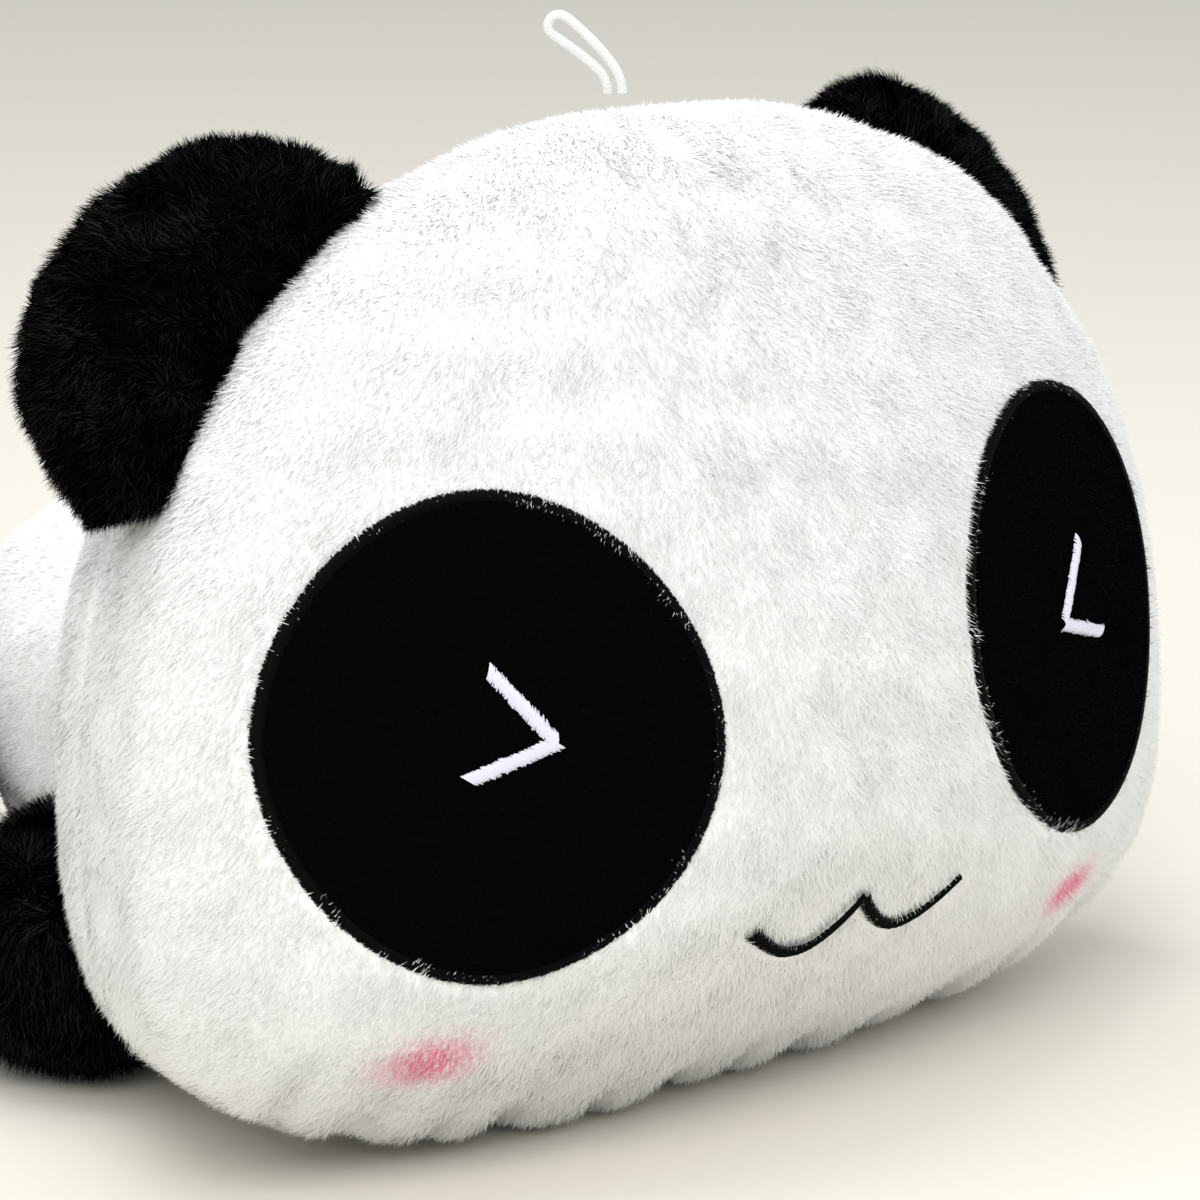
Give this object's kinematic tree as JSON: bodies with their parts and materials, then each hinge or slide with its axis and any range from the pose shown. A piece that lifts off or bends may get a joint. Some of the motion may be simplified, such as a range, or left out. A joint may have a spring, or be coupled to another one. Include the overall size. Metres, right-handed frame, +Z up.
{
  "type": "plush panda",
  "caption": "Stuffed panda lying on its belly, with a wide white head, round black ears, limbs and eye patches, and a short cord loop on the crown.",
  "frame": {"origin": "middle of the flat under the belly, on the surface that the panda lies on", "axes": "+Z up, +X to the panda's left, -Y the way that it faces"},
  "size_m": [0.5, 0.5091, 0.3953],
  "materials": {
    "white_plush": "short white plush",
    "black_plush": "long black plush",
    "fibre_fill": "polyester fibre",
    "black_velboa": "short black velboa",
    "black_thread": "satin-stitched rayon thread",
    "lilac_thread": "satin-stitched pale thread",
    "white_cord": "soft braided cord"
  },
  "bodies": {
    "head": {"head_face_panel": "white_plush", "head_back_panel": "white_plush", "head_stuffing": "fibre_fill", "eye_patch_left": "black_velboa", "eye_patch_right": "black_velboa", "eye_edge_left": "black_thread", "eye_edge_right": "black_thread", "eye_chevron_left": "lilac_thread", "eye_chevron_right": "lilac_thread", "mouth_embroidery": "black_thread", "loop_tack": "white_cord", "hang_loop": "white_cord"},
    "torso": {"torso_back_panel": "white_plush", "torso_belly_panel": "white_plush", "torso_stuffing": "fibre_fill"},
    "ear_left": {"ear_left_back_panel": "black_plush", "ear_left_front_panel": "black_plush", "ear_left_stuffing": "fibre_fill"},
    "arm_left": {"arm_left_top_panel": "black_plush", "arm_left_under_panel": "black_plush", "arm_left_stuffing": "fibre_fill"},
    "leg_left": {"leg_left_top_panel": "black_plush", "leg_left_under_panel": "black_plush", "leg_left_stuffing": "fibre_fill"},
    "ear_right": {"ear_right_back_panel": "black_plush", "ear_right_front_panel": "black_plush", "ear_right_stuffing": "fibre_fill"},
    "arm_right": {"arm_right_top_panel": "black_plush", "arm_right_under_panel": "black_plush", "arm_right_stuffing": "fibre_fill"},
    "leg_right": {"leg_right_top_panel": "black_plush", "leg_right_under_panel": "black_plush", "leg_right_stuffing": "fibre_fill"}
  },
  "joints": [
    {"name": "head_nod", "type": "hinge", "parent": "torso", "child": "head", "pos_m": [0, -0.033, 0.188], "axis": [-1, 0, 0], "range_deg": [0, 12]},
    {"name": "ear_left_bend", "type": "hinge", "parent": "head", "child": "ear_left", "pos_m": [0.16959, -0.18849, 0.28782], "axis": [-0.809, 0, 0.5878], "range_deg": [-5, 10], "stiffness_Nm_per_rad": 1},
    {"name": "ear_right_bend", "type": "hinge", "parent": "head", "child": "ear_right", "pos_m": [-0.16959, -0.18849, 0.28782], "axis": [-0.809, 0, -0.5878], "range_deg": [-5, 10], "stiffness_Nm_per_rad": 1},
    {"name": "arm_left_swing", "type": "hinge", "parent": "torso", "child": "arm_left", "pos_m": [0.1215, 0.042, 0], "axis": [0, 0, 1], "range_deg": [0, 20]},
    {"name": "arm_right_swing", "type": "hinge", "parent": "torso", "child": "arm_right", "pos_m": [-0.1215, 0.042, 0], "axis": [0, 0, -1], "range_deg": [0, 20]},
    {"name": "leg_left_lift", "type": "hinge", "parent": "torso", "child": "leg_left", "pos_m": [0.11184, 0.09547, 0.095], "axis": [0.3907, -0.9205, 0], "range_deg": [0, 25]},
    {"name": "leg_right_lift", "type": "hinge", "parent": "torso", "child": "leg_right", "pos_m": [-0.11184, 0.09547, 0.095], "axis": [0.3907, 0.9205, 0], "range_deg": [0, 25]}
  ]
}
